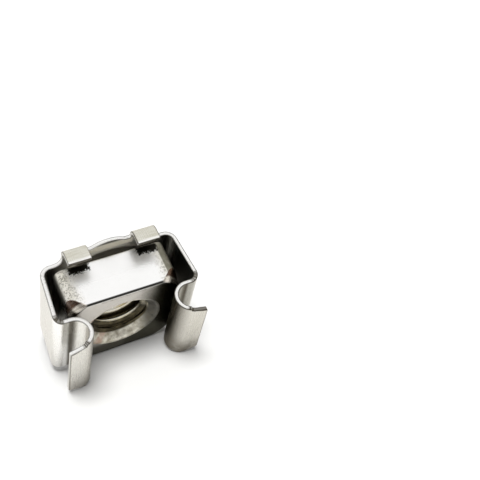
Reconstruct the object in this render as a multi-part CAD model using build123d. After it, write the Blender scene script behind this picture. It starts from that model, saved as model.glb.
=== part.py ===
from build123d import *
from math import atan2, cos, degrees, radians, sin, sqrt, tan
import os

# A rack cage nut: a square nut held loosely in a folded spring-steel cage, whose two curled ears snap
# into a square hole in a rack rail. All lengths are in millimetres, all angles in degrees.

# Rack rail that the cage snaps into
rack_hole = 9.5
hole_clearance = 0.1

# Square nut, M6 x 1
nut_side = 11.35
nut_height = 4.6
nut_corner_radius = 1.0
crown_diameter = 13.6
crown_angle = 57.0
back_chamfer = 0.12
thread_minor = 5.0
front_countersink = 7.9
back_countersink = 6.4

# Room that the cage leaves round the nut
side_play = 0.85
tab_play = 1.35
end_play = 0.75
shoulder_gap = 0.15
seat_gap = 0.05
side_drift = 0.2

# Strip that the cage is folded from
sheet = 0.45
shoulder_step = 0.3
tail_step = 0.2
tail_taper = 0.5

# Folds of the strip, inside radii
panel_bend = 0.75
shoulder_bend = 0.4
tab_bend = 0.5
groove_radius = 1.25
wall_splay = 4.7
tail_flare = 3.0
tail_span = 14.0

# Panel with its tabs
tab_width = 2.35
tab_spacing = 4.65
tab_reach = 1.95
notch_radius = 0.9
relief_depth = 0.25
relief_radius = 0.3
bulge_height = 0.27
bulge_radius = 3.0
panel_hole = 8.0

# Worked out from the sizes above. While the parts are made, X runs across the cage, -Y runs along the
# screw from the panel's outer face toward the ears, and Z runs across the width of the strip.
ear_width = rack_hole - 2 * hole_clearance
strip_width = ear_width + 2 * shoulder_step
tail_root_width = ear_width - 2 * tail_step
tail_end_width = tail_root_width - 2 * tail_taper
cage_width = nut_side + 2 * (side_play + sheet)
tab_span = nut_side + 2 * (tab_play + sheet)
shoulder_depth = 2 * sheet + nut_height + end_play
groove_x = ear_width / 2 + groove_radius
groove_depth = shoulder_depth + groove_radius
cage_depth = groove_depth + groove_radius + sheet + tail_span * sin(radians(tail_flare))

# Folded strip: the turn of each bend, the length that it takes off the straight runs beside it, and what
# is left of those runs.
wall_turn = 90 - wall_splay
shoulder_turn = 90 + wall_splay
wall_tangent = (panel_bend + sheet) * tan(radians(wall_turn / 2))
shoulder_tangent = (shoulder_bend + sheet) * tan(radians(shoulder_turn / 2))
panel_end_x = cage_width / 2 - wall_tangent
shoulder_end_x = cage_width / 2 + shoulder_depth * tan(radians(wall_splay)) - shoulder_tangent
tail_start_x = groove_x - groove_radius * sin(radians(tail_flare))
wall_length = shoulder_depth / cos(radians(wall_splay)) - wall_tangent - shoulder_tangent
shoulder_length = shoulder_end_x - groove_x
tail_length = (tail_span / 2 - tail_start_x) / cos(radians(tail_flare))


def arm_face(buried):
    """Edges of the right half of the folded strip, on the surface that lies this far under its outer face."""
    panel_line = Line((0, -buried), (panel_end_x, -buried))
    wall_arc = JernArc(panel_line @ 1, panel_line % 1, panel_bend + sheet - buried, -wall_turn)
    wall_line = Line(wall_arc @ 1, wall_arc @ 1 + (wall_arc % 1) * wall_length)
    shoulder_arc = JernArc(wall_line @ 1, wall_line % 1, shoulder_bend + sheet - buried, -shoulder_turn)
    shoulder_line = Line(shoulder_arc @ 1, shoulder_arc @ 1 + (shoulder_arc % 1) * shoulder_length)
    groove_arc = JernArc(shoulder_line @ 1, shoulder_line % 1, groove_radius + buried, 180 - tail_flare)
    tail_line = Line(groove_arc @ 1, groove_arc @ 1 + (groove_arc % 1) * tail_length)
    return [panel_line, wall_arc, wall_line, shoulder_arc, shoulder_line, groove_arc, tail_line]


# Strip, folded to its profile and then cut to its width: it steps in over the fold of the shoulders, and
# past the groove it steps in again and tapers along the tails.
outer_face = arm_face(0)
inner_face = arm_face(sheet)
middle = Line(outer_face[0] @ 0, inner_face[0] @ 0)
tail_end = Line(outer_face[-1] @ 1, inner_face[-1] @ 1)
profile = make_face([middle, *outer_face, tail_end, *inner_face])
arm = extrude(profile, amount=strip_width / 2, both=True)
strip = arm + mirror(arm, about=Plane.YZ)

fold_start = shoulder_depth - shoulder_bend - sheet
ear_waste = extrude(
    Plane.YZ
    * make_face(
        Polyline(
            (-fold_start, strip_width / 2),
            (-shoulder_depth, ear_width / 2),
            (-cage_depth, ear_width / 2),
            (-cage_depth, strip_width),
            (-fold_start, strip_width),
            close=True,
        )
    ),
    amount=cage_width,
    both=True,
)

tail_step_x = groove_x - groove_radius / 2
tail_waste = extrude(
    Plane.XZ.offset(groove_depth)
    * make_face(
        Polyline(
            (tail_step_x, strip_width / 2),
            (tail_step_x, tail_root_width / 2),
            (tail_span / 2, tail_end_width / 2),
            (cage_width, tail_end_width / 2),
            (cage_width, strip_width / 2),
            close=True,
        )
    ),
    amount=cage_depth - groove_depth,
)
for waste in (ear_waste, tail_waste, mirror(tail_waste, about=Plane.YZ)):
    strip -= waste + mirror(waste, about=Plane.XY)

# Panel between the side walls. Its upper and lower edges stand out between the tabs in a low bulge, with
# a relief beside each tab, and a rounded notch leads from the strip's edge to the outer side of each tab.
bend_line = tab_span / 2 - tab_bend - sheet
tab_outer_x = tab_spacing / 2 + tab_width
relief_line = bend_line - relief_depth
bulge_top = bend_line + bulge_height
same_place = sheet / 10
fillet_share = 0.9

blank = Rectangle(2 * panel_end_x, strip_width) + Rectangle(2 * tab_outer_x, 2 * bend_line)
notches = blank.vertices().filter_by(lambda v: abs(abs(v.X) - tab_outer_x) < same_place)
notches = notches.filter_by(lambda v: abs(abs(v.Y) - strip_width / 2) < same_place)
notch_room = min(panel_end_x - tab_outer_x, bend_line - strip_width / 2)
blank = fillet(notches, min(notch_radius, fillet_share * notch_room))
between_tabs = Pos(0, bend_line) * Rectangle(tab_spacing, 2 * relief_depth)
blank -= between_tabs + mirror(between_tabs, about=Plane.XZ)
bulge = Pos(0, bulge_top - bulge_radius) * Circle(bulge_radius)
blank += bulge + mirror(bulge, about=Plane.XZ)
bulge_foot_x = sqrt(bulge_radius**2 - (relief_line - bulge_top + bulge_radius) ** 2)
feet = blank.vertices().filter_by(lambda v: abs(abs(v.X) - bulge_foot_x) < same_place)
feet = feet.filter_by(lambda v: abs(abs(v.Y) - relief_line) < same_place)
blank = fillet(feet, min(relief_radius, fillet_share * (tab_spacing / 2 - bulge_foot_x)))
panel = extrude(Plane.XZ * blank, amount=sheet)


def tab_face(buried):
    """Edges of a tab's bend and leg, on the surface that lies this far under its outer face."""
    bend = JernArc((-buried, bend_line), (0, 1), tab_bend + sheet - buried, 90)
    leg = Line(bend @ 1, (-tab_reach, (bend @ 1).Y))
    return [bend, leg]


# Tabs, bent a quarter turn out of the panel over the sides of the nut.
outer_tab = tab_face(0)
inner_tab = tab_face(sheet)
tab_root = Line(outer_tab[0] @ 0, inner_tab[0] @ 0)
tab_end = Line(outer_tab[-1] @ 1, inner_tab[-1] @ 1)
tab_profile = make_face([tab_root, *outer_tab, tab_end, *inner_tab])
tab = extrude(Plane.YZ.offset(tab_spacing / 2) * tab_profile, amount=tab_width)
tab_pair = tab + mirror(tab, about=Plane.YZ)

hole = extrude(Plane.XZ * Circle(panel_hole / 2), amount=sheet)
spring_cage = strip + panel + tab_pair + mirror(tab_pair, about=Plane.XY) - hole

# Square nut, with its axis along Z: the corners of its front face are turned off to a round crown, the
# edges of its back face are broken by a small chamfer, and the hole is countersunk at both ends.
nut_blank = extrude(RectangleRounded(nut_side, nut_side, nut_corner_radius), amount=nut_height)
nut_blank = chamfer(nut_blank.faces().sort_by(Axis.Z)[0].edges(), back_chamfer)
corner_reach = nut_side / sqrt(2)
corner_height = nut_height - (corner_reach - crown_diameter / 2) * tan(radians(crown_angle))
crown = Polyline(
    (0, 0),
    (corner_reach, 0),
    (corner_reach, corner_height),
    (crown_diameter / 2, nut_height),
    (0, nut_height),
    close=True,
)
bore = Polyline(
    (0, 0),
    (back_countersink / 2, 0),
    (thread_minor / 2, (back_countersink - thread_minor) / 2),
    (thread_minor / 2, nut_height - (front_countersink - thread_minor) / 2),
    (front_countersink / 2, nut_height),
    (0, nut_height),
    close=True,
)
square_nut = nut_blank & revolve(Plane.XZ * make_face(crown), axis=Axis.Z)
square_nut -= revolve(Plane.XZ * make_face(bore), axis=Axis.Z)

# The cage lies as it lands when dropped: on the ends of the lower tabs and the lower corners of the ears.
# Tipped that way, the nut has slid forward to the shoulders and down until its lower front edge meets the
# ground, or its lower side the tabs, and it has drifted a little to the left.
ear_corner_depth = groove_depth + sqrt((groove_radius + sheet) ** 2 - (groove_x - tail_step_x) ** 2)
tilt = degrees(atan2((tab_span - ear_width) / 2, ear_corner_depth - tab_reach))
nut_front = shoulder_depth - sheet - shoulder_gap
ground_z = (nut_front - tab_reach) * tan(radians(tilt)) - tab_span / 2
nut_bottom_z = max(ground_z, sheet - tab_span / 2) + seat_gap
nut_place = Plane(
    origin=(-side_drift, nut_height - nut_front, nut_bottom_z + nut_side / 2),
    x_dir=(1, 0, 0),
    z_dir=(0, -1, 0),
)
square_nut = nut_place.location * square_nut

lying = Rot(X=tilt) * Compound([*spring_cage.solids(), *square_nut.solids()])
box = lying.bounding_box()
stand = Pos(-box.center().X, -box.center().Y, -box.min.Z) * Rot(X=tilt)

os.makedirs("parts", exist_ok=True)
for node, piece in {"spring_cage": spring_cage, "square_nut": square_nut}.items():
    export_step(stand * piece, f"parts/{node}.step")
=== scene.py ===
import math

import bmesh
import bpy
from mathutils import Matrix, Vector


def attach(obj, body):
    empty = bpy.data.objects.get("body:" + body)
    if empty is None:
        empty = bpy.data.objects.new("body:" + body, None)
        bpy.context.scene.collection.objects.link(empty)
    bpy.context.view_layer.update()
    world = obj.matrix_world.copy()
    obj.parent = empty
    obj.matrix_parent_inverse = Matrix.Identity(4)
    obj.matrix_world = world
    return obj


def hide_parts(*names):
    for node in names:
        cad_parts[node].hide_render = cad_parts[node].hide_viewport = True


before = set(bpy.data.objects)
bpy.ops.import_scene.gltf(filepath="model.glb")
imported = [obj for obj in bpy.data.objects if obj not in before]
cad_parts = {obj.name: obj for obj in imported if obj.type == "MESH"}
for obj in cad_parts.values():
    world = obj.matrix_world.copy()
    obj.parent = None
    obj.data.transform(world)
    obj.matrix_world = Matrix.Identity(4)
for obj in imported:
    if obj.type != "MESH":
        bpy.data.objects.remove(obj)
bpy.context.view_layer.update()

# Spring cage: one strip of stainless spring steel, blanked flat with four tabs and a round hole, then
# folded in a press into a tray with two curled ears. A quarter of the flat blank is drawn first, in
# millimetres: X runs along the strip, Z across it, and the sheet lies between Y = 0 and Y = -sheet.
sheet = 0.45
ear_width = 9.3
strip_width = 9.9
tail_root_width = 8.9
tail_end_width = 7.9
cage_width = 13.95
shoulder_depth = 6.25
tail_span = 14.0
panel_bend = 0.75
shoulder_bend = 0.4
tab_bend = 0.5
groove_radius = 1.25
wall_splay = math.radians(4.7)
tail_flare = math.radians(3)
tab_span = 14.95
tab_width = 2.35
tab_spacing = 4.65
tab_reach = 1.95
notch_radius = 0.9
relief_depth = 0.25
relief_radius = 0.16
bulge_height = 0.27
bulge_radius = 3.0
panel_hole = 8.0
edge_roll = 0.06
corner_round = 0.12

wall_turn = math.pi / 2 - wall_splay
shoulder_turn = math.pi / 2 + wall_splay
wall_tangent = (panel_bend + sheet) * math.tan(wall_turn / 2)
shoulder_tangent = (shoulder_bend + sheet) * math.tan(shoulder_turn / 2)
groove_x = ear_width / 2 + groove_radius
wall_top_x = cage_width / 2 + shoulder_depth * math.tan(wall_splay)
wall_run = shoulder_depth / math.cos(wall_splay) - wall_tangent - shoulder_tangent
shoulder_run = wall_top_x - shoulder_tangent - groove_x
tail_run = (tail_span / 2 - groove_x + groove_radius * math.sin(tail_flare)) / math.cos(tail_flare)
groove_turn = math.pi - tail_flare

# Lines across the flat strip where each bend starts and ends.
wall_bend_start = cage_width / 2 - wall_tangent
wall_bend_end = wall_bend_start + (panel_bend + sheet / 2) * wall_turn
shoulder_bend_start = wall_bend_end + wall_run
shoulder_bend_end = shoulder_bend_start + (shoulder_bend + sheet / 2) * shoulder_turn
groove_start = shoulder_bend_end + shoulder_run
groove_end = groove_start + (groove_radius + sheet / 2) * groove_turn
tail_tip = groove_end + tail_run
step_turn = math.pi / 2 + math.acos(groove_radius / 2 / (groove_radius + sheet))
tail_step = groove_start + (groove_end - groove_start) * step_turn / groove_turn

tab_bend_start = tab_span / 2 - tab_bend - sheet
tab_bend_end = tab_bend_start + (tab_bend + sheet / 2) * math.pi / 2
tab_tip = tab_bend_end + tab_reach - tab_bend - sheet
tab_side = tab_spacing / 2 + tab_width
relief_line = tab_bend_start - relief_depth
bulge_top = tab_bend_start + bulge_height
bulge_turn = math.acos((relief_line - bulge_top + bulge_radius) / bulge_radius)

strip_way = Vector((1, 0, 0))
through_way = Vector((0, 1, 0))
tab_way = Vector((0, 0, 1))
cut_near = 1e-5
touching = 1e-4

bm = bmesh.new()
blank_place = bm.verts.layers.float_vector.new("blank")
hole_side = bm.verts.new((panel_hole / 2, 0, 0))
bmesh.ops.spin(bm, geom=[hole_side], cent=(0, 0, 0), axis=through_way, angle=-math.pi / 2, steps=24)
bulge_crest = bm.verts.new((0, 0, bulge_top))
bulge_middle = (0, 0, bulge_top - bulge_radius)
bmesh.ops.spin(bm, geom=[bulge_crest], cent=bulge_middle, axis=through_way, angle=bulge_turn, steps=10)
bm.verts.ensure_lookup_table()
outline = [v for v in bm.verts if v.co.length < panel_hole / 2 + edge_roll]
outline += [v for v in bm.verts if v not in outline]
corners = {
    "relief": (tab_spacing / 2, relief_line),
    "tab_inner": (tab_spacing / 2, tab_tip),
    "tab_outer": (tab_side, tab_tip),
    "notch": (tab_side, strip_width / 2),
    "shoulder_wide": (shoulder_bend_start, strip_width / 2),
    "shoulder_narrow": (shoulder_bend_end, ear_width / 2),
    "tail_wide": (tail_step, ear_width / 2),
    "tail_narrow": (tail_step, tail_root_width / 2),
    "tail_corner": (tail_tip, tail_end_width / 2),
    "tail_middle": (tail_tip, 0),
}
corners = {name: bm.verts.new((x, 0, z)) for name, (x, z) in corners.items()}
outline += corners.values()
bm.edges.ensure_lookup_table()
for near, far in zip(outline, outline[1:] + outline[:1]):
    if not bm.edges.get((near, far)):
        bm.edges.new((near, far))
bmesh.ops.contextual_create(bm, geom=bm.edges[:])
for name, radius in (
    ("notch", notch_radius),
    ("relief", relief_radius),
    ("tab_inner", corner_round),
    ("tab_outer", corner_round),
    ("tail_corner", corner_round),
):
    bmesh.ops.bevel(
        bm, geom=[corners[name]], affect="VERTICES", offset=radius, segments=6, profile=0.5, material=-1
    )

# The blank gets its thickness, and the die rolls its cut edges over a little. The two cuts through the
# middle of the strip stay open, because the other three quarters join there.
thickened = bmesh.ops.extrude_face_region(bm, geom=bm.faces[:])["geom"]
under = [v for v in thickened if isinstance(v, bmesh.types.BMVert)]
bmesh.ops.translate(bm, verts=under, vec=(0, -sheet, 0))
seam = [
    f
    for f in bm.faces
    if all(v.co.x < cut_near for v in f.verts) or all(v.co.z < cut_near for v in f.verts)
]
bmesh.ops.delete(bm, geom=seam, context="FACES_ONLY")
for f in bm.faces:
    f.material_index = int(abs(f.normal.y) < 0.5)
rolled = [
    e
    for e in bm.edges
    if len(e.link_faces) == 2 and e.link_faces[0].material_index != e.link_faces[1].material_index
]
bmesh.ops.bevel(bm, geom=rolled, affect="EDGES", offset=edge_roll, segments=2, profile=0.5, material=-1)

# The sheet is scored across each bend, so that it can follow the bend's curve.
for way, start, end, steps in (
    (strip_way, wall_bend_start, wall_bend_end, 14),
    (strip_way, shoulder_bend_start, shoulder_bend_end, 14),
    (strip_way, groove_start, groove_end, 30),
    (tab_way, tab_bend_start, tab_bend_end, 12),
):
    for k in range(steps + 1):
        cut = way * (start + (end - start) * k / steps)
        whole = bm.verts[:] + bm.edges[:] + bm.faces[:]
        bmesh.ops.bisect_plane(bm, geom=whole, plane_co=cut, plane_no=way, dist=cut_near)
flat = {v: v.co.copy() for v in bm.verts}
for v, place in flat.items():
    v[blank_place] = place


def press(places, way, start, end, depth, turn, axis):
    """Bends the sheet past start round an axis at this depth, as a press does, by this turn."""
    hinge = way * start + through_way * depth
    for v, place in places.items():
        run = place.dot(way) - start
        if run > 0:
            wrapped = min(run, end - start)
            swing = Matrix.Rotation(turn * wrapped / (end - start), 3, axis)
            v.co = hinge + swing @ (v.co - way * wrapped - hinge)


press(flat, strip_way, groove_start, groove_end, groove_radius, groove_turn, "Z")
press(flat, strip_way, shoulder_bend_start, shoulder_bend_end, -sheet - shoulder_bend, -shoulder_turn, "Z")
press(flat, strip_way, wall_bend_start, wall_bend_end, -sheet - panel_bend, -wall_turn, "Z")
tab_flat = {v: p for v, p in flat.items() if tab_spacing / 2 - touching < p.x < tab_side + touching}
press(tab_flat, tab_way, tab_bend_start, tab_bend_end, -sheet - tab_bend, math.pi / 2, "X")

for axis in ("X", "Z"):
    whole = bm.verts[:] + bm.edges[:] + bm.faces[:]
    bmesh.ops.mirror(bm, geom=whole, axis=axis, merge_dist=touching)
bmesh.ops.remove_doubles(bm, verts=bm.verts[:], dist=touching)
bmesh.ops.recalc_face_normals(bm, faces=bm.faces[:])
for v in bm.verts:
    along, depth, over = v[blank_place]
    v[blank_place] = (math.copysign(along, v.co.x), depth, math.copysign(over, v.co.z))

# It lies as the solid does, tipped forward on the ends of its lower tabs and the corners of its ears.
ear_bulge = math.sqrt((groove_radius + sheet) ** 2 - (groove_radius / 2) ** 2)
ear_corner = shoulder_depth + groove_radius + ear_bulge
tilt = math.atan2((tab_span - ear_width) / 2, ear_corner - tab_reach)
lying = Matrix.Rotation(tilt, 4, "X")
upright = [lying.inverted() @ v.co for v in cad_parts["spring_cage"].data.vertices]
panel_y = max(p.y for p in upright)
middle_z = (max(p.z for p in upright) + min(p.z for p in upright)) / 2
millimetre = 0.001
stand = lying @ Matrix.Translation((0, panel_y, middle_z)) @ Matrix.Scale(millimetre, 4)
bmesh.ops.transform(bm, matrix=stand, verts=bm.verts[:])


def worked(name, bm):
    """The piece that this mesh has been worked into, set down in the scene."""
    mesh = bpy.data.meshes.new(name)
    bm.to_mesh(mesh)
    bm.free()
    piece = bpy.data.objects.new(name, mesh)
    bpy.context.scene.collection.objects.link(piece)
    return piece


for f in bm.faces:
    f.smooth = True
cage = worked("folded_cage", bm)
cage.modifiers.new("flat_faces_stay_flat", "WEIGHTED_NORMAL").keep_sharp = True


class Tone:
    """An output of a node, so that a pattern over the metal can be written as a sum."""

    def __init__(self, finish, socket):
        self.finish = finish
        self.socket = socket

    def out(self, name):
        """Another output of the same node."""
        return Tone(self.finish, self.socket.node.outputs[name])

    def math(self, operation, *values):
        inputs = dict(enumerate((self, *values)))
        return self.finish.node("ShaderNodeMath", {"operation": operation}, inputs)

    def __add__(self, other):
        return self.math("ADD", other)

    def __sub__(self, other):
        return self.math("SUBTRACT", other)

    def __rsub__(self, other):
        return (self * -1).math("ADD", other)

    def __mul__(self, other):
        return self.math("MULTIPLY", other)

    __radd__ = __add__
    __rmul__ = __mul__

    def size(self):
        return self.math("ABSOLUTE")

    def larger(self, other):
        return self.math("MAXIMUM", other)

    def smaller(self, other):
        return self.math("MINIMUM", other)

    def between(self, low, high):
        """0 below low and 1 above high, smooth between; the other way round where low is the larger."""
        settings = {"interpolation_type": "SMOOTHSTEP"}
        limits = {"Value": self, "From Min": min(low, high), "From Max": max(low, high)}
        share = self.finish.node("ShaderNodeMapRange", settings, limits)
        return share if low < high else 1 - share

    def near(self, place, far, close):
        """1 within close of this place, 0 further than far from it."""
        return (self - place).size().between(far, close)

    def tint(self, under, over):
        """The colour under where this is 0, the colour over where it is 1."""
        return self.finish.node("ShaderNodeMix", {"data_type": "RGBA"}, {0: self, 6: under, 7: over}, 2)


class Finish:
    """A metal's material, with the method that makes its nodes."""

    def __init__(self, material, shader="Principled BSDF"):
        self.material = material
        self.material.use_nodes = True
        self.tree = self.material.node_tree
        self.shader = self.tree.nodes[shader]

    def node(self, kind, settings, inputs, output=0):
        made = self.tree.nodes.new(kind)
        for name, value in settings.items():
            setattr(made, name, value)
        for name, value in inputs.items():
            self.feed(made.inputs[name], value)
        return Tone(self, made.outputs[output])

    def feed(self, socket, value):
        if isinstance(value, Tone):
            self.tree.links.new(value.socket, socket)
        else:
            socket.default_value = value

    def wear(self, **looks):
        """Gives the shader's sockets their values or patterns."""
        for name, value in looks.items():
            self.feed(self.shader.inputs[name.replace("_", " ")], value)

    def place(self, attribute):
        """Place on the piece in millimetres, as it was before it was folded or laid down."""
        vector = self.node("ShaderNodeAttribute", {"attribute_name": attribute}, {}, "Vector")
        return vector, self.node("ShaderNodeSeparateXYZ", {}, {"Vector": vector})

    def grain(self, vector, scale, detail=3.0, roughness=0.55, stretch=(1, 1, 1)):
        """Cloudy noise of this many clouds to the millimetre, stretched along the piece's own axes."""
        drawing = {"Vector": vector, "Scale": stretch}
        drawn = self.node("ShaderNodeMapping", {"vector_type": "POINT"}, drawing)
        inputs = {"Vector": drawn, "Scale": scale, "Detail": detail, "Roughness": roughness}
        return self.node("ShaderNodeTexNoise", {}, inputs)

    def relief(self, height, depth):
        """Normal of a surface that is rough by this depth, in metres."""
        return self.node("ShaderNodeBump", {}, {"Strength": 1, "Distance": depth, "Height": height})


# Rolled faces: warm satin with a fine grain across the strip, soft clouds and a few pits. The bends are
# painted darker, as shade in their creases, and the inside of the tray is painted dark, as shade where the
# nut hides most of it; grime lies along the cut edges. The ears are darker grey, most on their inner side,
# on the right ear and toward their lower ends, and the right shoulder is darker still. The tabs' undersides
# and a band on the panel's inner face are painted pale, as light, and the tabs' front ends carry a painted
# highlight.
satin_grey = (0.86, 0.845, 0.795, 1)
satin_white = (0.96, 0.95, 0.92, 1)
flank_white = (0.97, 0.965, 0.945, 1)
ear_grey = (0.64, 0.615, 0.55, 1)
shoulder_grey = (0.36, 0.35, 0.31, 1)
tab_olive = (0.56, 0.54, 0.44, 1)
tab_highlight_white = (0.97, 0.965, 0.94, 1)
panel_grey = (0.6, 0.585, 0.54, 1)
bend_shade_brown = (0.06, 0.049, 0.033, 1)
low_brown = (0.16, 0.14, 0.105, 1)
pit_brown = (0.2, 0.17, 0.13, 1)
rim_brown = (0.12, 0.105, 0.08, 1)
tray_shade_olive = (0.5, 0.47, 0.38, 1)
painted_light_beige = (0.78, 0.73, 0.61, 1)
underside_light_white = (0.98, 0.975, 0.95, 1)
tray_shade_black = (0.03, 0.028, 0.021, 1)
ear_shade_core = 2.3
ear_shade_length = 4.4
tail_shade = 2.8
tray_shade_start = 4.6
tray_shade_full = 6.2
tray_shade_ring = 5.4
painted_light_side = 2.5
painted_light_line = 5.7
elsewhere = 99

rolled_steel = Finish(bpy.data.materials.new("rolled_steel"))
blank, strip = rolled_steel.place("blank")
reach, skin, over = strip.size(), strip.out("Y"), strip.out("Z").size()
grain = rolled_steel.grain(blank, 1, 4, 0.62, (11, 2, 0.45))
fine = rolled_steel.grain(blank, 1, 2, 0.5, (34, 4, 1.6))
streak = rolled_steel.grain(blank, 1, 3, 0.6, (0.6, 2, 7))
cloud = rolled_steel.grain(blank, 0.35, 2, 0.4, (1, 1, 0.5))
patch = rolled_steel.grain(blank, 0.8, 4, 0.6).between(0.35, 0.6)
pit = rolled_steel.grain(blank, 5.5, 2, 0.6).between(0.69, 0.76)

inner = skin.between(-0.3, -0.42)
outer = 1 - inner
right = strip.between(-1, 1)
tabs = over.between(tab_bend_start - 0.2, tab_bend_start + 0.2)
arms = reach.between(tab_side, tab_side + notch_radius)
ears = reach.between(shoulder_bend_end + 0.2, groove_start + 1.0)
tray = skin.between(-0.38, -0.44) * reach.between(shoulder_bend_end, shoulder_bend_start)
panel_back = outer * reach.between(wall_bend_end, wall_bend_start) * (1 - tabs)
flanks = outer * reach.between(wall_bend_start, wall_bend_end) * (1 - ears)
from_middle = (reach * reach + over * over).math("SQRT")

strip_edge = (
    strip_width / 2
    - (strip_width - ear_width) / 2 * reach.between(shoulder_bend_start, shoulder_bend_end)
    - (ear_width - tail_root_width) / 2 * reach.between(tail_step - 0.05, tail_step + 0.05)
    - (tail_root_width - tail_end_width) / 2 * reach.between(tail_step, tail_tip)
    - over
)
tab_edge = tab_width / 2 - (reach - (tab_spacing + tab_width) / 2).size()
to_edge = (strip_edge + elsewhere * (1 - arms)).smaller(tab_edge + elsewhere * (1 - tabs))
to_edge = to_edge.smaller(tail_tip - reach) + 0.1 * (cloud - 0.5) + 0.1 * (grain - 0.5)
rim = to_edge.between(0.13, 0.02)

# The bends are painted darker here, as shade in the creases of the grooves and ears.
inner_bend_shade = reach.between(groove_start + ear_shade_length, groove_start + ear_shade_core)
inner_bend_shade = inner_bend_shade * reach.between(shoulder_bend_end, groove_start)
outer_bend_shade = 0.9 * reach.between(groove_start - 0.4, groove_start - 0.05)
outer_bend_shade = outer_bend_shade * reach.between(groove_start + 0.9, groove_start + 0.1)
outer_bend_shade = outer_bend_shade + 0.15 * reach.near(groove_start + tail_shade, 0.7, 0.1)
bend_shade = inner * inner_bend_shade + outer * outer_bend_shade

# The inside of the tray is painted dark here, as shade where the nut covers it, with lighter patches in it.
tray_shade = reach.between(tray_shade_start, tray_shade_full).larger(from_middle.between(tray_shade_ring + 0.2, tray_shade_ring - 0.2))
tray_shade = tray_shade.larger(tabs) * tray * over.between(tab_bend_end, tab_bend_end - 0.4)
lighter_patches = strip.between(wall_bend_start + 0.4, wall_bend_start + 0.9)
lighter_patches = lighter_patches * strip.between(wall_bend_end + 1.6, wall_bend_end + 0.5)
lighter_patches = lighter_patches * strip.out("Z").between(0.8, 3.4) * (2.4 * grain - 0.5).between(0, 1)
# A band on the panel's inner face is painted pale and partly non-metallic here, as light.
painted_light_band = tray * reach.between(painted_light_side + 0.2, painted_light_side - 0.2)
painted_light_band = painted_light_band * (over + 0.3 * (streak - 0.5)).between(painted_light_line - 0.1, painted_light_line + 0.1)
# The tabs' undersides are painted pale here, as light, so that their reflection in the nut stays pale.
tab_underside_light = inner * over.between(tab_bend_start + 0.2, tab_bend_end)

# The ears are darker grey here, most on their inner side and on the right ear.
ear_darkening = ears * (0.3 + 0.7 * inner) * (1.0 - 0.4 * cloud - 0.5 * (grain - 0.5)) * (0.4 + 0.6 * right)
# The right shoulder's outer face is darker here.
shoulder_darkening = outer * strip.between(shoulder_bend_start + 0.3, shoulder_bend_end)
shoulder_darkening = shoulder_darkening * strip.between(groove_start + 1.6, groove_start + 0.6) * (0.9 + 0.8 * (grain - 0.5))
# The tabs' front ends carry a painted highlight here.
tab_highlight = over.between(tab_tip - 0.4, tab_tip - 0.12) * (0.4 + 0.8 * streak)
# The ears are darker toward their lower ends here.
low = ears * (strip.out("Z") + 1.5 * (grain - 0.5)).between(-0.8, -4.8)
low = low * (0.25 * inner + 0.3 * grain + 0.55 * right * patch)

colour = (cloud + 0.25 * (grain - 0.5)).tint(satin_grey, satin_white)
colour = (flanks * (0.8 - 0.4 * pit)).tint(colour, flank_white)
colour = ear_darkening.tint(colour, ear_grey)
colour = shoulder_darkening.tint(colour, shoulder_grey)
colour = (tabs * (1.25 - 1.1 * streak)).tint(colour, tab_olive)
colour = tab_highlight.tint(colour, tab_highlight_white)
colour = (panel_back * (0.3 + 0.6 * cloud + 0.8 * (grain - 0.5))).tint(colour, panel_grey)
colour = (bend_shade * (0.8 + 0.35 * grain)).tint(colour, bend_shade_brown)
colour = low.tint(colour, low_brown)
colour = (pit * 0.6).tint(colour, pit_brown)
colour = (rim * 0.85).tint(colour, rim_brown)
# The whole inside of the tray is painted a little darker, as shade.
colour = (tray * 0.35).tint(colour, tray_shade_olive)
colour = painted_light_band.tint(colour, painted_light_beige)
colour = tab_underside_light.tint(colour, underside_light_white)
colour = (tray_shade * (0.95 - 0.5 * lighter_patches)).tint(colour, tray_shade_black)
rolled_steel.wear(
    Metallic=1 - 0.8 * painted_light_band,
    Base_Color=colour,
    Roughness=0.16 + 0.12 * cloud + 0.12 * grain + 0.15 * rim + 0.1 * pit + 0.4 * tab_underside_light + 0.15 * tray,
    Specular_Tint=(0.74, 0.72, 0.68, 1),
    Normal=rolled_steel.relief(grain * 0.4 + fine * 0.2 - pit * 0.8, 0.000007),
)

# Cut edges: bright and scored by the die for half of the sheet's thickness, torn and duller for the rest,
# with a dark line where the edge meets each face. They are marked dark where the shoulders are folded and
# the tails step in, and dark at the ends of the tabs and along the right tail.
scored_grey = (0.86, 0.85, 0.82, 1)
scored_white = (0.98, 0.975, 0.96, 1)
torn_grey = (0.6, 0.58, 0.53, 1)
speck_brown = (0.24, 0.21, 0.16, 1)
mark_brown = (0.1, 0.088, 0.065, 1)
line_black = (0.05, 0.045, 0.034, 1)
shoulder_fold = (shoulder_bend_start + shoulder_bend_end) / 2

sheared_steel = Finish(bpy.data.materials.new("sheared_steel"))
blank, strip = sheared_steel.place("blank")
reach, skin, over = strip.size(), strip.out("Y"), strip.out("Z").size()
score = sheared_steel.grain(blank, 1, 3, 0.6, (9, 0.8, 9))
speck = sheared_steel.grain(blank, 6, 2, 0.6).between(0.6, 0.74)
torn = (skin + 0.16 * (score - 0.5)).between(-0.22, -0.3)
line = ((skin + sheet / 2).size() + 0.1 * (score - 0.5)).between(0.12, 0.155)
line = line * (0.55 + 0.4 * strip.between(-1, 1))
scratched = 3.2 * score - 0.6
mark = reach.near(shoulder_fold, 0.75, 0.35) * scratched
mark = mark.larger(reach.near(tail_step, 0.45, 0.15) * scratched)
mark = mark.larger(0.95 * strip.between(tail_step, tail_step + 0.2))
mark = mark.larger(over.between(tab_tip - 0.06, tab_tip - 0.02))
colour = (score * 1.5 - 0.25).tint(scored_grey, scored_white)
colour = (torn * 0.2).tint(colour, torn_grey)
colour = (speck * 0.6).tint(colour, speck_brown)
colour = (mark * 0.9).tint(colour, mark_brown)
colour = line.tint(colour, line_black)
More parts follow.
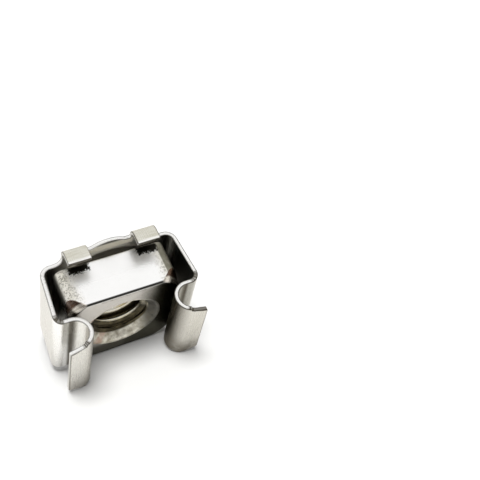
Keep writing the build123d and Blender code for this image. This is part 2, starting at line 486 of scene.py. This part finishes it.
sheared_steel.wear(
    Metallic=1,
    Base_Color=colour,
    Roughness=0.33 + 0.12 * score + 0.14 * torn,
    Specular_Tint=(0.45, 0.43, 0.38, 1),
    Normal=sheared_steel.relief(score - speck * torn * 0.6, 0.00002),
)
cage.data.materials.append(rolled_steel.material)
cage.data.materials.append(sheared_steel.material)
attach(cage, "cage")
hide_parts("spring_cage")

# Square nut: cold formed from steel wire, with rounded corners, turned off to a round crown on its front
# face, countersunk from both faces and tapped M6. It lies loose in the cage, against the shoulders.
# Its own axis is Z here, from its back face to its front face.
nut_side = 11.35
nut_height = 4.6
nut_corner_radius = 1.0
crown_radius = 6.8
crown_slope = math.tan(math.radians(57))
back_chamfer = 0.12
edge_break = 0.17
edge_ease = 0.07
front_countersink = 3.95
back_countersink = 3.2
countersink_lip = 0.12
thread_crest = 2.5
thread_root = 3.0
pitch = 1.0
nut_front = 5.65
nut_seat = 0.05
nut_drift = 0.2
near_enough = 1e-3

bm = bmesh.new()
bmesh.ops.create_grid(bm, x_segments=1, y_segments=1, size=nut_side / 2)
bmesh.ops.bevel(
    bm, geom=bm.verts[:], affect="VERTICES", offset=nut_corner_radius, segments=12, profile=0.5, material=-1
)
long_sides = [e for e in bm.edges if e.calc_length() > nut_corner_radius]
bmesh.ops.subdivide_edges(bm, edges=long_sides, cuts=24)
bmesh.ops.delete(bm, geom=bm.faces[:], context="FACES_ONLY")


def eased(points, reach, steps):
    """The points of a profile, with each inner corner rounded off over this reach."""
    path = [points[0]]
    for before, corner, after in zip(points, points[1:], points[2:]):
        lead = min(reach, (corner - before).length / 2)
        tail = min(reach, (after - corner).length / 2)
        start = corner + (before - corner).normalized() * lead
        end = corner + (after - corner).normalized() * tail
        for k in range(steps + 1):
            share = k / steps
            path.append(start.lerp(corner, share).lerp(corner.lerp(end, share), share))
    return path + [points[-1]]


def nut_profile(edge):
    """Outside of the nut through one point of its outline, from the back face round to the front face."""
    core = nut_side / 2 - nut_corner_radius
    centre = Vector([max(-core, min(core, c)) for c in edge.xy])
    inward = ((centre - edge.xy) / nut_corner_radius).to_3d()
    up = Vector((0, 0, 1))
    turned_off = max(edge.length - crown_radius, 0)
    crown = -edge.normalized() * turned_off if turned_off > edge_break else inward * edge_break
    drop = max(turned_off * crown_slope, edge_break)
    points = [
        edge + inward * 3 * back_chamfer,
        edge + inward * back_chamfer,
        edge + up * back_chamfer,
        edge + up * (nut_height - drop),
        edge + crown + up * nut_height,
        edge + crown + inward * 3 * edge_ease + up * nut_height,
    ]
    return eased(points, edge_ease, 4)


rows = [bm.verts[:]]
loop = bm.edges[:]
for k in range(len(nut_profile(rows[0][0].co)) - 1):
    grown = bmesh.ops.extrude_edge_only(bm, edges=loop)["geom"]
    rows.append([g for g in grown if isinstance(g, bmesh.types.BMVert)])
    loop = [g for g in grown if isinstance(g, bmesh.types.BMEdge) and all(v in rows[-1] for v in g.verts)]
for k, row in enumerate(rows):
    for v in row:
        v.co = nut_profile(v.co)[k]

# Tapped hole: the profile of a few turns is spun once round while it climbs by one pitch, so that its end
# meets the next turn. The countersinks then cut the turns away at both mouths. A turn is given as shares
# of the pitch and of the thread's depth.
thread_steps = 128
flank = (thread_root - thread_crest) * math.tan(math.radians(30)) / pitch
crest_share = 0.25
turn_rows = [
    (crest_share - 0.04, 0),
    (crest_share, 0.05),
    (crest_share + 0.03, 0.11),
    (crest_share + flank * 0.4, 0.4),
    (crest_share + flank * 0.7, 0.7),
    (crest_share + flank - 0.02, 0.93),
    (crest_share + flank + 0.03, 1),
    (1 - flank - 0.03, 1),
    (1 - flank + 0.02, 0.93),
    (1 - flank * 0.7, 0.7),
    (1 - flank * 0.4, 0.4),
    (1 - 0.03, 0.11),
    (1, 0.05),
    (1.04, 0),
]
tapped = bmesh.new()
previous = None
for turn in range(-2, 6):
    for share, depth in turn_rows:
        out = thread_crest + (thread_root - thread_crest) * depth
        v = tapped.verts.new((out, 0, (turn + share) * pitch))
        if previous:
            tapped.edges.new((previous, v))
        previous = v
bmesh.ops.spin(
    tapped,
    geom=tapped.verts[:] + tapped.edges[:],
    cent=(0, 0, 0),
    axis=(0, 0, 1),
    dvec=(0, 0, pitch / thread_steps),
    angle=2 * math.pi,
    steps=thread_steps,
)
bmesh.ops.remove_doubles(tapped, verts=tapped.verts[:], dist=near_enough)
for v in tapped.verts:
    out = v.co.xy.length if 0 < v.co.z < nut_height else thread_crest
    v.co.z = max(0, min(nut_height, v.co.z))
    sunk_by = nut_height - v.co.z
    cone = max(front_countersink - countersink_lip - sunk_by, back_countersink - v.co.z)
    cone += max(countersink_lip - sunk_by, 0) ** 2 / countersink_lip
    v.co.xy *= max(cone, out) / v.co.xy.length
bmesh.ops.remove_doubles(tapped, verts=tapped.verts[:], dist=near_enough)
for f in tapped.faces:
    f.material_index = 1
hole = bpy.data.meshes.new("tapped_hole")
tapped.to_mesh(hole)
tapped.free()
bm.from_mesh(hole)
bpy.data.meshes.remove(hole)
mouths = [e for e in bm.edges if e.is_boundary and e.verts[0].co.xy.length < crown_radius - 1]
collars = bmesh.ops.extrude_edge_only(bm, edges=mouths)["geom"]
for v in collars:
    if isinstance(v, bmesh.types.BMVert):
        v.co.xy *= 1 + countersink_lip / v.co.xy.length
for level in (0, nut_height):
    open_edges = [e for e in bm.edges if e.is_boundary and abs(e.verts[0].co.z - level) < near_enough]
    bmesh.ops.triangle_fill(bm, edges=open_edges, use_beauty=True, normal=(0, 0, 1))
bmesh.ops.recalc_face_normals(bm, faces=bm.faces[:])
bench_place = bm.verts.layers.float_vector.new("bench")
for v in bm.verts:
    v[bench_place] = v.co
ground = (nut_front - tab_reach) * math.tan(tilt) - tab_span / 2
seat = max(ground, sheet - tab_span / 2) + nut_seat
nut_middle = Vector((-nut_drift, nut_height - nut_front, seat + nut_side / 2))
nut_stand = stand @ Matrix.Translation(nut_middle) @ Matrix.Rotation(math.pi / 2, 4, "X")
bmesh.ops.transform(bm, matrix=nut_stand, verts=bm.verts[:])
for f in bm.faces:
    f.smooth = True
nut = worked("tapped_nut", bm)
nut.data.set_sharp_from_angle(angle=math.radians(40))
nut.modifiers.new("flat_faces_stay_flat", "WEIGHTED_NORMAL").keep_sharp = True

# Formed faces: bright and smooth where the die pressed them, with pitted, greyer corners, and the
# right-hand side is painted dark olive as shade. The crown was turned, so it has fine rings; it is stained
# brown and painted darker as a dark reflection. The sides that face the cage's walls and the back face are
# painted dark as shade, the front face is painted dark toward its right and its foot as a dark reflection,
# and painted shadows of the upper tabs lie on the upper side.
formed_grey = (0.93, 0.925, 0.91, 1)
formed_white = (0.99, 0.985, 0.975, 1)
corner_beige = (0.76, 0.72, 0.6, 1)
right_side_olive = (0.2, 0.19, 0.145, 1)
pit_black = (0.13, 0.12, 0.09, 1)
stray_grey = (0.3, 0.28, 0.26, 1)
front_beige = (0.6, 0.57, 0.525, 1)
front_shade_black = (0.04, 0.042, 0.026, 1)
crown_brown = (0.12, 0.07, 0.045, 1)
crown_beige = (0.82, 0.77, 0.68, 1)
brink_black = (0.03, 0.028, 0.022, 1)
tab_shadow_black = (0.012, 0.011, 0.008, 1)
side_shade_brown = (0.1, 0.092, 0.07, 1)
back_shade_grey = (0.35, 0.33, 0.28, 1)
nut_half = nut_side / 2
corner_start = nut_half - nut_corner_radius
tab_middle = (tab_spacing + tab_width) / 2
tab_shadow_shift = 0.24
tab_shadow_reach = 0.95
crown_foot = 4.05
corner_inner = 6.7
corner_outer = 7.5
smooth_start = 4.5
smooth_end = 4.8
upper_side = 5.5
front_shade_start = -1.0
front_shade_full = 2.6
foot_shade_start = -2.8
foot_shade_full = -4.2

formed_steel = Finish(bpy.data.materials.new("formed_steel"))
bench, spot = formed_steel.place("bench")
side, rise, height = spot, spot.out("Y"), spot.out("Z")
radius = (side * side + rise * rise).math("SQRT")
cloud = formed_steel.grain(bench, 0.5, 3, 0.5)
mottle = formed_steel.grain(bench, 2.4, 3, 0.6)
speck = formed_steel.grain(bench, 7.5, 2, 0.65)
fine = formed_steel.grain(bench, 22, 2, 0.5)
ring_place = formed_steel.node("ShaderNodeCombineXYZ", {}, {"X": radius, "Y": height})
rings = formed_steel.grain(ring_place, 14, 2, 0.5)

front = height.between(nut_height - 0.04, nut_height - 0.01)
front = front * radius.between(crown_radius + 0.02, crown_radius - 0.1)
above_crown = height + (radius - crown_radius) * crown_slope
crown = radius.between(crown_radius - 0.05, crown_radius + 0.1)
crown = crown * above_crown.between(nut_height - 0.12, nut_height - 0.03)
crown_low = crown * (height + 0.3 * (mottle - 0.5)).between(crown_foot - 0.1, crown_foot + 0.1)
corner = (radius + 0.3 * (mottle - 0.5)).between(corner_inner, corner_outer) * (1 - crown)
smooth = side.between(smooth_start, smooth_end)
# The nut's right-hand side is painted dark olive here, as shade.
right_side_shade = side.between(corner_start - 0.05, corner_start + 0.1)
pit = corner * (1 - 0.8 * smooth) * (speck + 0.35 * (mottle - 0.5)).between(0.53, 0.6)
stray = speck.between(0.74, 0.8) * (1 - corner)
# The sides that face the cage's walls are painted dark here, as shade in the gaps.
side_shade = side.size().between(nut_half - 0.25, nut_half - 0.02) * (1 - crown)
# The front face is painted dark toward its right and its foot here, as a dark reflection.
front_shade = (side - 0.35 * rise + 1.2 * (cloud - 0.5)).between(front_shade_start, front_shade_full)
foot_shade = 0.9 * (rise + 0.6 * (cloud - 0.5)).between(foot_shade_start, foot_shade_full)
front_shade = front * front_shade.larger(foot_shade)
brink = height.between(nut_height - 0.27, nut_height - 0.18) * (1 - front) * (1 - crown) * (1 - corner)
# Ragged painted shadows of the upper tabs lie on the nut's upper side here.
tab_shadow = ((side - tab_shadow_shift).size() - tab_middle).size() + 0.9 * (speck - 0.5)
tab_shadow = tab_shadow.between(tab_width / 2 - 0.02, tab_width / 2 - 0.22)
ragged = height + 1.1 * (speck - 0.5) + 0.3 * (mottle - 0.5)
tab_shadow = tab_shadow * ragged.between(tab_shadow_reach + 0.1, tab_shadow_reach - 0.1)
tab_shadow = tab_shadow * rise.between(upper_side, upper_side + 0.1)

colour = (cloud * 1.4 - 0.2).tint(formed_grey, formed_white)
colour = (corner * (0.35 + 0.5 * mottle)).tint(colour, corner_beige)
colour = (right_side_shade * (0.75 + 0.4 * mottle) * (1 - front)).tint(colour, right_side_olive)
colour = (pit * 0.6).tint(colour, pit_black)
colour = (stray * 0.5).tint(colour, stray_grey)
colour = (front * (0.7 + 0.4 * mottle)).tint(colour, front_beige)
colour = (front_shade * 0.95).tint(colour, front_shade_black)
# The crown is stained brown and painted darker, as a dark reflection.
colour = (crown * (0.8 + 0.3 * mottle)).tint(colour, crown_brown)
colour = (crown_low * 0.9).tint(colour, crown_beige)
colour = (brink * 0.92).tint(colour, brink_black)
colour = tab_shadow.tint(colour, tab_shadow_black)
colour = (side_shade * 0.75).tint(colour, side_shade_brown)
# The back face is painted darker here, as shade against the panel.
colour = (height.between(0.3, 0) * 0.6).tint(colour, back_shade_grey)
bumps = fine * 0.25 + mottle * 0.2 - pit * 1.2 + rings * (crown + front * 0.3)
formed_steel.wear(
    Metallic=1,
    Base_Color=colour,
    Roughness=0.14 + 0.07 * cloud + 0.2 * corner + 0.06 * front + 0.12 * height.between(3.2, 1.8),
    Specular_Tint=(0.7, 0.68, 0.64, 1),
    Normal=formed_steel.relief(bumps, 0.00002),
)

# Tapped hole: the countersinks are turned and mottled by old heat, stained at the left and painted darker
# at the right as shade. The thread's lower half is painted dark as shade and its upper half pale as light,
# its crests are rubbed bright with a painted highlight, and deep inside it is painted white and gold as a
# highlight.
root_black = (0.02, 0.018, 0.012, 1)
root_brown = (0.12, 0.1, 0.058, 1)
thread_light_beige = (0.9, 0.84, 0.68, 1)
crest_highlight_white = (0.97, 0.93, 0.8, 1)
deep_highlight_white = (0.99, 0.975, 0.93, 1)
deep_highlight_gold = (0.9, 0.78, 0.48, 1)
cone_brown = (0.33, 0.295, 0.22, 1)
cone_white = (0.87, 0.845, 0.745, 1)
stain_brown = (0.46, 0.31, 0.24, 1)
cone_shade_black = (0.07, 0.066, 0.054, 1)
back_cone = back_countersink - thread_crest
highlight_start_depth = 2.1
highlight_full_depth = 1.4

tapped_steel = Finish(bpy.data.materials.new("tapped_steel"))
bench, spot = tapped_steel.place("bench")
side, rise, height = spot, spot.out("Y"), spot.out("Z")
radius = (side * side + rise * rise).math("SQRT")
mottle = tapped_steel.grain(bench, 1.5, 4, 0.62)
stain = tapped_steel.grain(bench, 0.7, 2, 0.5)
fine = tapped_steel.grain(bench, 16, 2, 0.5)
ring_place = tapped_steel.node("ShaderNodeCombineXYZ", {}, {"X": radius, "Y": height})
rings = tapped_steel.grain(ring_place, 12, 3, 0.5)
sunk = radius.between(thread_root + 0.02, thread_root + 0.15)
sunk = sunk * height.between(nut_height - 1.2, nut_height - 0.9)
sunk = sunk.larger(height.between(back_cone + 0.05, back_cone - 0.05))
# The crests are rubbed bright and carry a painted highlight.
crest_highlight = radius.between(thread_crest + 0.03, thread_crest) * (0.5 + 0.7 * mottle)
# Deep inside, the thread is painted white and gold here, as a highlight.
deep_highlight = side.between(0.2, 1.6).tint(deep_highlight_white, deep_highlight_gold)
# The thread's lower half is painted dark as shade, and its upper half pale as light.
thread = (mottle * 1.8 - 0.4).tint(root_black, root_brown)
thread = rise.between(-0.4, 0.8).tint(thread, thread_light_beige)
thread = crest_highlight.tint(thread, crest_highlight_white)
thread = (height.between(highlight_start_depth, highlight_full_depth) * (0.75 + 0.4 * mottle)).tint(thread, deep_highlight)
cone = (mottle * 2.8 - 0.9).tint(cone_brown, cone_white)
cone = (stain.between(0.5, 0.68) * side.between(0.6, -1.2) * 0.8).tint(cone, stain_brown)
# The countersinks' right-hand part is painted dark here, as shade.
cone = (side.between(1.4, 3.3) * (0.65 + 0.5 * mottle)).tint(cone, cone_shade_black)
tapped_steel.wear(
    Metallic=1,
    Base_Color=sunk.tint(thread, cone),
    Roughness=0.24 + 0.2 * mottle * sunk + 0.08 * rings,
    Normal=tapped_steel.relief(rings * 0.7 + fine * 0.3 + mottle * sunk * 0.5, 0.000016),
)
nut.data.materials.append(formed_steel.material)
nut.data.materials.append(tapped_steel.material)
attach(nut, "nut")
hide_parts("square_nut")

# Studio: a white table with a white backdrop round it, under a ceiling that is white where it is seen or
# mirrored. A dark curtain stands in front of the table, out of the camera's sight, so that the steel has
# something dark to reflect, and a broad lamp lights the table alone. Lengths here are in metres.
table_half = 4
curtain_radius = 3.2
curtain_height = 1.44
curtain_start = math.radians(195)
curtain_turn = math.radians(155)
backdrop_radius = 3.5
backdrop_height = 1.45
white = (1, 1, 1, 1)
table_grey = (0.57, 0.57, 0.565, 1)
curtain_brown = (0.06, 0.05, 0.042, 1)
ceiling_grey = (0.62, 0.615, 0.605, 1)


def staged(name, bm):
    """A piece of the studio, which is no part of the cage nut."""
    piece = worked(name, bm)
    return piece


def hanging(name, radius, height, start, turn):
    """A curved wall of cloth that hangs about the table, from one bearing on through a turn."""
    bm = bmesh.new()
    fold = [bm.verts.new((radius * math.cos(start), radius * math.sin(start), z)) for z in (0, height)]
    fold.append(bm.edges.new(fold))
    closed = math.isclose(turn, 2 * math.pi)
    bmesh.ops.spin(bm, geom=fold, cent=(0, 0, 0), axis=(0, 0, 1), angle=turn, steps=64, use_merge=closed)
    return staged(name, bm)


bm = bmesh.new()
bmesh.ops.create_grid(bm, x_segments=1, y_segments=1, size=table_half)
table = staged("table", bm)
table_top = Finish(bpy.data.materials.new("table_top"))
table_top.wear(Base_Color=table_grey, Roughness=0.9, Specular_IOR_Level=0.1)
table.data.materials.append(table_top.material)

curtain = hanging("curtain", curtain_radius, curtain_height, curtain_start, curtain_turn)
curtain.visible_camera = False
dark_cloth = Finish(bpy.data.materials.new("dark_cloth"))
dark_cloth.wear(Base_Color=curtain_brown, Roughness=0.9)
curtain.data.materials.append(dark_cloth.material)

backdrop = hanging("backdrop", backdrop_radius, backdrop_height, 0, 2 * math.pi)
white_cloth = Finish(bpy.data.materials.new("white_cloth"))
white_cloth.wear(Base_Color=(0, 0, 0, 1), Roughness=1, Emission_Color=white, Emission_Strength=1)
backdrop.data.materials.append(white_cloth.material)

ceiling = Finish(bpy.data.worlds.new("ceiling"), "Background")
bpy.context.scene.world = ceiling.material
ray = ceiling.node("ShaderNodeLightPath", {}, {}, "Is Camera Ray")
seen = ray.larger(ray.out("Is Glossy Ray")).larger(ray.out("Is Transmission Ray"))
ceiling.wear(Color=seen.tint(ceiling_grey, white), Strength=1)

lamp = bpy.data.lights.new("table_lamp", "SUN")
lamp.energy = 4.4
lamp.angle = math.radians(28)
table_lamp = bpy.data.objects.new("table_lamp", lamp)
table_lamp.rotation_euler = (math.radians(13), math.radians(-6), 0)
bpy.context.scene.collection.objects.link(table_lamp)
lit = bpy.data.collections.new("lit_by_table_lamp")
lit.objects.link(table)
table_lamp.light_linking.receiver_collection = lit

# Camera: it stands at the lower left and looks down over the cage nut, as in the photograph.
camera = bpy.data.cameras.new("camera")
camera.sensor_width = 36
camera.lens = 67.5
camera.clip_start = 0.001
viewpoint = bpy.data.objects.new("camera", camera)
viewpoint.location = Vector((-21.1424, -65.3836, 66.6047)) * millimetre
aim = Vector((19.832, 11.4016, 0)) * millimetre
roll = math.radians(0.665)
view = (aim - viewpoint.location).to_track_quat("-Z", "Y").to_matrix().to_4x4()
viewpoint.matrix_world = Matrix.Translation(viewpoint.location) @ view @ Matrix.Rotation(roll, 4, "Z")
bpy.context.scene.collection.objects.link(viewpoint)
bpy.context.scene.camera = viewpoint
bpy.context.scene.view_settings.view_transform = "Standard"
